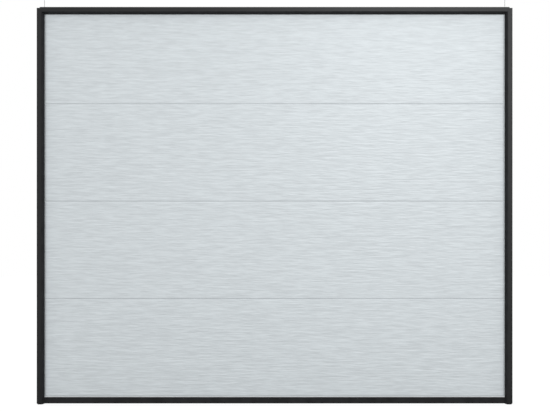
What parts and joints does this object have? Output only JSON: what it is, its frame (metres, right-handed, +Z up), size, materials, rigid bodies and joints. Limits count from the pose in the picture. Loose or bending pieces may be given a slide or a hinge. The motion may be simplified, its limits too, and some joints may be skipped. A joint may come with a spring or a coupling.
{
  "type": "sectional garage door",
  "caption": "Closed sectional garage door: flat embossed white panels in a slim black frame, with roller tracks, hinges, torsion springs, drums and lift cables behind.",
  "frame": {"origin": "centre of the head's flat front face, which bears on the inner face of the lintel", "axes": "+X to the right as seen from outside, +Y into the garage, +Z up; the floor is at z = -2.0195"},
  "size_m": [2.43, 2.505, 2.4],
  "materials": {
    "white_panel": "satin white coat embossed with a wood grain",
    "black_coat": "satin black powder coat",
    "black_rubber": "matt black rubber",
    "aluminium": "mill finish",
    "cast_aluminium": "as cast",
    "galvanised_steel": "galvanised",
    "bright_steel": "zinc plated",
    "cable_steel": "galvanised wire rope",
    "spring_steel": "oiled dark spring steel",
    "nylon": "natural nylon"
  },
  "bodies": {
    "root": {"bearing_plates": "galvanised_steel", "bottom_brackets": "galvanised_steel", "bottom_rail": "aluminium", "bottom_seal": "black_rubber", "buffers": "black_rubber", "cable_drums": "cast_aluminium", "centre_bracket": "galvanised_steel", "centre_hinges": "galvanised_steel", "crosstie": "galvanised_steel", "curved_track_left": "galvanised_steel", "curved_track_right": "galvanised_steel", "end_caps": "white_panel", "flag_plates": "galvanised_steel", "floor_brackets": "galvanised_steel", "head": "black_coat", "head_seal": "black_rubber", "hinge_pins": "bright_steel", "horizontal_track_left": "galvanised_steel", "horizontal_track_right": "galvanised_steel", "jamb_brackets": "galvanised_steel", "lift_cables": "cable_steel", "post_left": "black_coat", "post_right": "black_coat", "rear_hangers": "galvanised_steel", "roller_stems": "bright_steel", "roller_wheels": "nylon", "section_1": "white_panel", "section_2": "white_panel", "section_3": "white_panel", "section_4": "white_panel", "section_gaskets": "black_rubber", "shaft_bearings": "bright_steel", "side_hinges_left": "galvanised_steel", "side_hinges_right": "galvanised_steel", "side_seals": "black_rubber", "spring_plugs": "cast_aluminium", "spring_shaft": "bright_steel", "top_brackets": "galvanised_steel", "torsion_spring_left": "spring_steel", "torsion_spring_right": "spring_steel", "track_angles": "galvanised_steel", "vertical_track_left": "galvanised_steel", "vertical_track_right": "galvanised_steel"}
  },
  "joints": []
}
